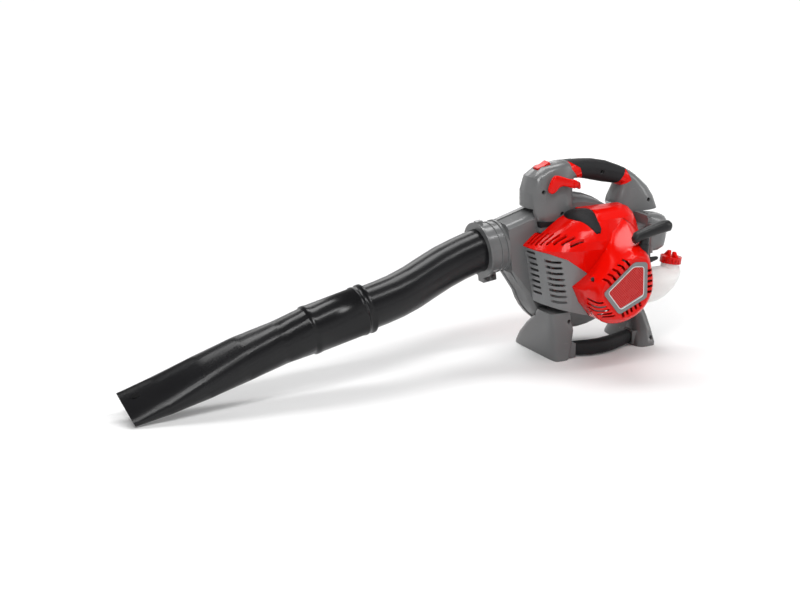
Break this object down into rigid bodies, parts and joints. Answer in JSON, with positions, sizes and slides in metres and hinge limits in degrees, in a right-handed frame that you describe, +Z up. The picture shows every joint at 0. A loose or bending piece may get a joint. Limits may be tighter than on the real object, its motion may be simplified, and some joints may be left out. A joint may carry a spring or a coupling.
{
  "type": "handheld petrol leaf blower",
  "caption": "Handheld petrol leaf blower: scroll fan housing, side engine under a slotted shroud, recoil starter, arched handle, bent tube with a flat nozzle.",
  "frame": {"origin": "centre of the front foot's sole, on the floor", "axes": "+X towards the rear, away from the nozzle; -Y the engine side, +Y the air intake side; +Z up"},
  "size_m": [1.0222, 0.2515, 0.3396],
  "materials": {
    "grey_plastic": "fine moulded texture",
    "light_grey_plastic": "satin moulded",
    "red_plastic": "polished moulded",
    "black_plastic": "fine moulded texture",
    "black_tube": "glossy blow moulded",
    "soft_grip": "matt overmoulded",
    "rubber": "plain",
    "steel": "zinc plated",
    "cast_alloy": "die cast",
    "tank_plastic": "translucent blow moulded",
    "ceramic": "glazed",
    "filter_paper": "pleated paper",
    "rope": "braided cord"
  },
  "bodies": {
    "root": {"fan_housing_inner": "grey_plastic", "fan_housing_outer": "grey_plastic", "tube_clamp": "grey_plastic", "clamp_screws": "steel", "blower_tube": "black_tube", "crankcase": "cast_alloy", "crank_bearings": "steel", "engine_cylinder": "cast_alloy", "spark_plug": "ceramic", "plug_cap": "rubber", "ignition_coil": "black_plastic", "muffler": "steel", "muffler_guard": "light_grey_plastic", "engine_cover": "red_plastic", "starter_housing": "red_plastic", "starter_badge": "light_grey_plastic", "pulley_screw": "steel", "recoil_spring": "steel", "rope_guide": "black_plastic", "intake_insulator": "black_plastic", "carburettor": "cast_alloy", "air_filter_base": "black_plastic", "air_filter_element": "filter_paper", "fuel_tank": "tank_plastic", "fuel_hose": "rubber", "fuel_filter": "steel", "handle_half_near": "grey_plastic", "handle_half_far": "grey_plastic", "handle_grip": "soft_grip", "grip_collars": "red_plastic", "trigger_pin": "steel", "throttle_cable": "rubber", "front_mount": "rubber", "rear_mount": "rubber", "front_foot": "grey_plastic", "rear_foot": "grey_plastic", "base_grip": "soft_grip", "guard_hinge_pin": "steel", "housing_screws": "steel"},
    "nozzle": {"nozzle": "black_tube"},
    "crank": {"crankshaft": "steel", "fan_impeller": "grey_plastic", "flywheel": "cast_alloy", "fan_nut": "steel"},
    "pulley": {"recoil_pulley": "black_plastic"},
    "pull_grip": {"starter_grip": "black_plastic", "starter_rope": "rope"},
    "trigger": {"throttle_trigger": "red_plastic"},
    "throttle_shaft": {"throttle_arm": "steel"},
    "cruise": {"cruise_lever": "red_plastic"},
    "switch": {"stop_switch": "red_plastic"},
    "choke": {"choke_lever": "black_plastic"},
    "primer": {"primer_bulb": "rubber"},
    "cap_lift": {"cap_gasket": "rubber"},
    "cap": {"fuel_cap": "red_plastic"},
    "filter_door": {"air_filter_cover": "grey_plastic"},
    "filter_knob": {"filter_cover_knob": "black_plastic"},
    "intake_door": {"intake_guard": "red_plastic"},
    "latch": {"guard_latch": "black_plastic"}
  },
  "joints": [
    {"name": "nozzle_twist", "type": "hinge", "parent": "root", "child": "nozzle", "pos_m": [-0.352, -0.016, 0.13], "axis": [-0.9763, 0, -0.2164], "range_deg": [0, 25]},
    {"name": "crank_spin", "type": "hinge", "parent": "root", "child": "crank", "pos_m": [0.055, 0, 0.15], "axis": [0, 1, 0], "continuous": true},
    {"name": "starter_pull", "type": "slide", "parent": "root", "child": "pull_grip", "axis": [0.1045, 0, 0.9945], "range_m": [0, 0.65], "stiffness_N_per_m": 14, "springref_m": -0.35, "deforming": ["starter_rope"]},
    {"name": "pulley_turn", "type": "hinge", "parent": "root", "child": "pulley", "pos_m": [0.055, -0.136, 0.15], "axis": [0, -1, 0], "range_deg": [0, 1320]},
    {"name": "trigger_pull", "type": "hinge", "parent": "root", "child": "trigger", "pos_m": [0.039, 0, 0.297], "axis": [0, -1, 0], "range_deg": [0, 12], "stiffness_Nm_per_rad": 0.25, "springref_deg": -11.46},
    {"name": "throttle_turn", "type": "hinge", "parent": "root", "child": "throttle_shaft", "pos_m": [0.119, -0.05, 0.208], "axis": [0, 0, 1], "range_deg": [0, 74]},
    {"name": "cruise_turn", "type": "hinge", "parent": "root", "child": "cruise", "pos_m": [0.035, -0.0336, 0.303], "axis": [0, 1, 0], "range_deg": [0, 40]},
    {"name": "switch_rock", "type": "hinge", "parent": "root", "child": "switch", "pos_m": [-0.007, 0, 0.3305], "axis": [0, 1, 0], "range_deg": [0, 14]},
    {"name": "choke_turn", "type": "hinge", "parent": "root", "child": "choke", "pos_m": [0.167, -0.0774, 0.163], "axis": [0, 1, 0], "range_deg": [0, 60]},
    {"name": "primer_push", "type": "slide", "parent": "root", "child": "primer", "axis": [-1, 0, 0], "range_m": [0, 0.004], "stiffness_N_per_m": 400},
    {"name": "cap_rise", "type": "slide", "parent": "root", "child": "cap_lift", "axis": [0.1392, 0, 0.9903], "range_m": [0, 0.008]},
    {"name": "cap_turn", "type": "hinge", "parent": "cap_lift", "child": "cap", "pos_m": [0.226, -0.061, 0.147], "axis": [0.1392, 0, 0.9903], "range_deg": [0, 720]},
    {"name": "filter_cover_swing", "type": "hinge", "parent": "root", "child": "filter_door", "pos_m": [0.167, -0.082, 0.203], "axis": [0, 0, -1], "range_deg": [0, 95]},
    {"name": "filter_knob_turn", "type": "hinge", "parent": "filter_door", "child": "filter_knob", "pos_m": [0.2246, -0.038, 0.2085], "axis": [1, 0, 0], "range_deg": [0, 90]},
    {"name": "intake_guard_swing", "type": "hinge", "parent": "root", "child": "intake_door", "pos_m": [0.143, 0.064, 0.15], "axis": [0, 0, -1], "range_deg": [0, 100]},
    {"name": "guard_latch_turn", "type": "hinge", "parent": "intake_door", "child": "latch", "pos_m": [-0.029, 0.07, 0.15], "axis": [0, 1, 0], "range_deg": [0, 90]}
  ],
  "couplings": [
    {"joint": "pulley_turn", "follows": "starter_pull", "rad_per_m": 34.783},
    {"joint": "throttle_turn", "follows": "trigger_pull", "ratio": 6},
    {"joint": "cap_turn", "follows": "cap_rise", "rad_per_m": 1570.8}
  ]
}
